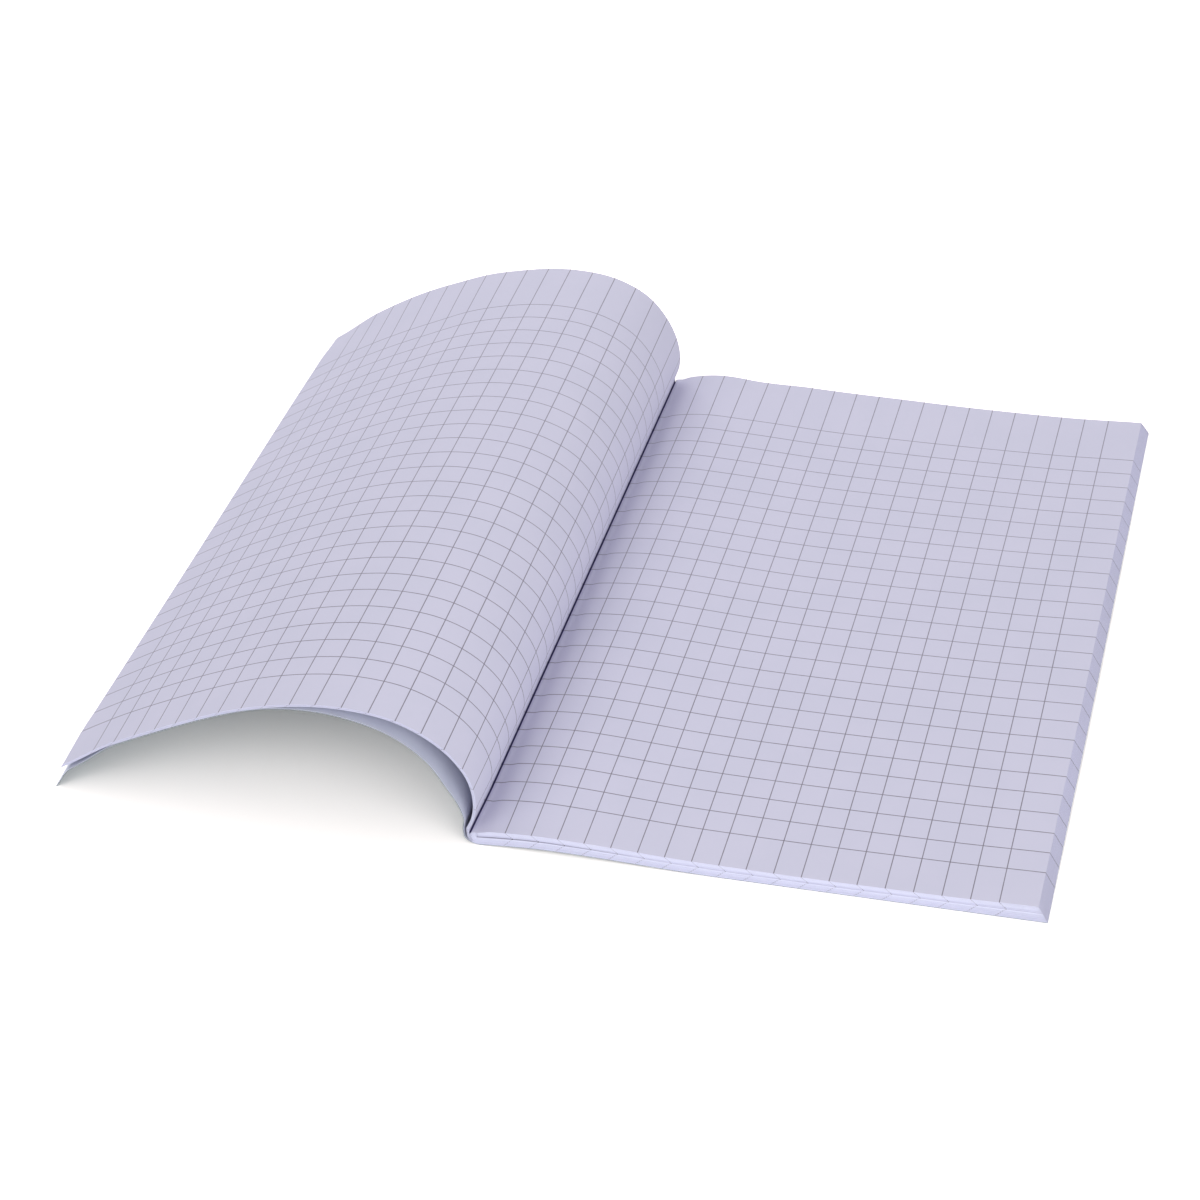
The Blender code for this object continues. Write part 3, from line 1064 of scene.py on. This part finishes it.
@dataclass
class Cover:
    """The folded cover: its back half under the block and its front half under the arch.

    The card is made of thin plies, printed outer ones and a pale inner one, so that both colours show
    in its cut edge.
    """

    shape: BookShape
    maker: SheetMaker
    finishes: Sequence[bpy.types.Material]
    rounding: float = 0.03
    plies: int = 3
    ply_gap: float = 0.004
    back_depth: float = 0.30
    front_depth: float = 0.36

    def half(self, name: str, course: Course, layer: int, depth: float) -> bpy.types.Object:
        """Make one half of the cover.

        Args:
            name: Name of the piece.
            course: Points across the book, from right to left, so that the faces point down and out.
            layer: Number that sets its pulp apart.
            depth: Thickness of all its plies together.

        Returns:
            The finished half.
        """
        run = lengths(course)
        if course[0][0] > course[-1][0]:
            run = [run[-1] - value for value in run]
        ply = depth / self.plies
        plies = [beside(course, self.shape.card / 2 - (index + 0.5) * ply) for index in range(self.plies)]
        piece = self.maker.make(name, plies, run, layer, card=True)
        self.maker.thicken(piece, ply - self.ply_gap, self.finishes, self.rounding)
        return piece

    def build(self) -> None:
        """Make both halves, and join the back half to its body."""
        layer = 2 * self.shape.sheets + 1
        back = self.half("cover_back_half", self.shape.back_cover(), layer, self.back_depth)
        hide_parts("back_cover")
        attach(back, "back_half")
        course = self.shape.front_cover()
        front = self.half("cover_front_half", course, layer + 1, self.front_depth)
        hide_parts("front_cover")
        start, end = self.maker.crease(course)
        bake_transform(front)
        LOG.info("cover: back half and front half")


@dataclass
class Staples:
    """The two wire staples through the fold."""

    shape: BookShape
    spine_x: float
    steel: bpy.types.Material
    spacing: float = 160.0
    width: float = 12.0
    clinch: float = 4.2
    bend: float = 0.6
    bend_steps: int = 5
    radius: float = 0.25
    clearance: float = 0.1
    sides: int = 12

    def wire(self) -> list[Vector]:
        """Points of the wire in its own plane, from one clinched end to the other."""
        outer = -self.shape.cover_fold - self.shape.card / 2 - self.clearance - self.radius
        inner = -self.shape.inner_fold + self.shape.solid_paper / 2 + self.clearance + self.radius
        half = self.width / 2
        turns = [math.radians(90.0 * step / self.bend_steps) for step in range(self.bend_steps + 1)]
        cuts = [(self.bend * (1 - math.cos(turn)), self.bend * (1 - math.sin(turn))) for turn in turns]
        side = [(inner, half - self.clinch)]
        side += [(inner - first, half - second) for first, second in cuts]
        side += [(outer + second, half - first) for first, second in cuts]
        points = side + [(x, -y) for x, y in reversed(side)]
        return [Vector((x, y, 0.0)) for x, y in points]

    def build_one(self, name: str, centre: float) -> None:
        """Make one staple.

        Each ring is turned by half of its bend only, so the wire is flat like a strip at its crown.

        Args:
            name: Name of the staple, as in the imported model.
            centre: Its place along the spine.
        """
        path = self.wire()
        work = bmesh.new()
        ring = bmesh.ops.create_circle(
            work, segments=self.sides, radius=self.radius, cap_ends=True)["verts"]
        first_turn = Vector((0.0, 0.0, 1.0)).rotation_difference(path[1] - path[0]).to_matrix()
        bmesh.ops.rotate(work, verts=ring, matrix=first_turn)
        bmesh.ops.translate(work, verts=ring, vec=path[0])
        cap = list(work.faces)
        heading = (path[1] - path[0]).normalized()
        for here, there, after in zip(path, path[1:], path[2:] + [path[-1]]):
            drawn = bmesh.ops.extrude_face_region(work, geom=cap)["geom"]
            cap = [item for item in drawn if isinstance(item, bmesh.types.BMFace)]
            verts = [item for item in drawn if isinstance(item, bmesh.types.BMVert)]
            bmesh.ops.translate(work, verts=verts, vec=there - here)
            ahead = (after - there).normalized() if after != there else heading
            turn = heading.rotation_difference((heading + ahead).normalized()).to_matrix()
            bmesh.ops.rotate(work, verts=verts, cent=there, matrix=turn)
            heading = ahead
        bmesh.ops.recalc_face_normals(work, faces=work.faces)
        place = Matrix.Translation((self.spine_x, centre * MM, self.shape.fold_height * MM))
        bmesh.ops.transform(work, matrix=place @ Matrix.Scale(MM, 4), verts=work.verts)
        piece = meshed(f"{name}_wire", work)
        piece.data.shade_smooth()
        piece.data.materials.append(self.steel)
        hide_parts(name)
        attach(piece, "back_half")

    def build(self) -> None:
        """Make both staples."""
        self.build_one("staple_foot", -self.spacing / 2)
        self.build_one("staple_head", self.spacing / 2)
        LOG.info("staples: foot and head")


@dataclass
class Studio:
    """Floor, light and camera."""

    world_strength: float = 0.6
    lamps: tuple[tuple[str, float, float, Triple], ...] = (
        ("front_lamp", 8.0, 1.3, (-0.75, -1.45, 1.0)),
        ("back_lamp", 12.0, 1.3, (-0.6, 1.4, 1.2)),
        ("right_lamp", 13.2, 1.3, (1.2, -1.2, 0.5)))
    camera_place: Triple = (0.2670, -0.7755, 0.6534)
    camera_right: Triple = (0.95804, 0.27311, -0.08764)
    camera_down: Triple = (0.10546, -0.61951, -0.77791)
    camera_ahead: Triple = (-0.26675, 0.73595, -0.62232)
    lens: float = 77.19
    sensor: float = 36.0
    nearest: float = 0.01
    floor_half_width: float = 4.0
    floor_height: float = -0.00005
    floor_seen: Triple = (1.77, 1.69, 1.66)
    floor_lit: Triple = (0.86, 0.86, 0.86)

    def build_world(self) -> None:
        """Give an even, soft light from all round, seen as plain white."""
        world = bpy.data.worlds.new("studio_world")
        world.use_nodes = True
        bpy.context.scene.world = world
        desk = NodeDesk(world.node_tree)
        light = world.node_tree.nodes["Background"]
        rays = desk.node("LightPath").outputs
        seen = desk.math("MAXIMUM", rays["Is Camera Ray"], rays["Is Glossy Ray"])
        seen = desk.math("MAXIMUM", seen, rays["Is Transmission Ray"])
        strength = desk.node("MapRange", Value=seen, To_Min=self.world_strength, To_Max=1.0)
        light.inputs["Color"].default_value = (1.0, 1.0, 1.0, 1.0)
        desk.feed(light.inputs["Strength"], strength.outputs["Result"])

    def build_lamps(self) -> None:
        """Hang the large soft lamps: in front of the book, behind it, and low at its right."""
        for name, power, size, place in self.lamps:
            lamp = bpy.data.lights.new(name, "AREA")
            lamp.energy = power
            lamp.size = size
            holder = placed(name, lamp)
            holder.location = place
            holder.rotation_euler = (-Vector(place)).to_track_quat("-Z", "Y").to_euler()

    def build_floor(self) -> None:
        """Lay the white floor, which keeps the book's shadow; the camera sees it lighter than it is."""
        work = bmesh.new()
        bmesh.ops.create_grid(work, x_segments=1, y_segments=1, size=self.floor_half_width)
        bmesh.ops.translate(work, verts=work.verts, vec=(0.0, 0.0, self.floor_height))
        floor = meshed("floor", work)
        skin = Skin("white_floor")
        nodes = skin.tree.nodes
        nodes.remove(nodes["Principled BSDF"])
        rays = skin.node("LightPath").outputs
        both = skin.node("MixShader", Fac=rays["Is Camera Ray"])
        for target, colour in zip(both.inputs[1:], (self.floor_lit, self.floor_seen)):
            skin.feed(target, skin.node("BsdfDiffuse", Color=(*colour, 1.0)).outputs[0])
        skin.feed(nodes["Material Output"].inputs["Surface"], both.outputs[0])
        floor.data.materials.append(skin.material)

    def build_camera(self) -> None:
        """Set the camera where the photograph was taken from."""
        camera = bpy.data.cameras.new("camera")
        camera.lens = self.lens
        camera.sensor_width = self.sensor
        camera.clip_start = self.nearest
        turn = Matrix((self.camera_right, self.camera_down, self.camera_ahead)).transposed()
        turn.col[1] = -turn.col[1]
        turn.col[2] = -turn.col[2]
        holder = placed("camera", camera)
        holder.matrix_world = Matrix.Translation(self.camera_place) @ turn.to_4x4()
        bpy.context.scene.camera = holder

    def build(self) -> None:
        """Set up everything round the book."""
        self.build_world()
        self.build_lamps()
        self.build_floor()
        self.build_camera()
        bpy.context.scene.view_settings.view_transform = "Standard"
        LOG.info("studio: floor, lamps, world and camera")


def main() -> None:
    """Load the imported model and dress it."""
    logging.basicConfig(level=logging.INFO, format="%(name)s: %(message)s")
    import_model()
    shape = BookShape()
    spine_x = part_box("back_cover")[1][0] - shape.block_edge * MM
    kit = EffectKit()
    paper = PaperFinish().build(kit)
    # Painted light: the cut edges are lighter than the paper's faces, brightening the near face as the
    # light from the front does.
    cut_edge = PaperFinish(
        "paper_cut_edge", (223.0, 224.0, 246.0), (218.0, 219.0, 243.0), ink_strength=0.3,
        painted_shade_strength=0.0).build(kit)
    inside = CardFinish(
        "cover_inside", (207.0, 211.0, 228.0), (201.0, 205.0, 223.0), (211.0, 214.0, 228.0),
        (0.65, 0.78)).build(kit)
    outside = CardFinish(
        "cover_outside", (92.0, 118.0, 128.0), (84.0, 110.0, 121.0), (150.0, 164.0, 170.0),
        (0.4, 0.53), coat=0.25, emboss=1.0).build(kit)
    dark_edge = CardFinish(
        "cover_cut_edge_outer_ply", (78.0, 94.0, 112.0), (70.0, 87.0, 106.0), (92.0, 106.0, 122.0),
        (0.75, 0.88)).build(kit)
    light_edge = CardFinish(
        "cover_cut_edge_inner_ply", (232.0, 235.0, 241.0), (226.0, 230.0, 238.0), (234.0, 236.0, 242.0),
        (0.75, 0.88)).build(kit)
    steel = SteelFinish().build()
    maker = SheetMaker(spine_x, Settling(shape))
    Pages(shape, maker, paper, cut_edge).build()
    Cover(shape, maker, (outside, inside, dark_edge, light_edge)).build()
    Staples(shape, spine_x, steel).build()
    Studio().build()


if __name__ == "__main__":
    main()
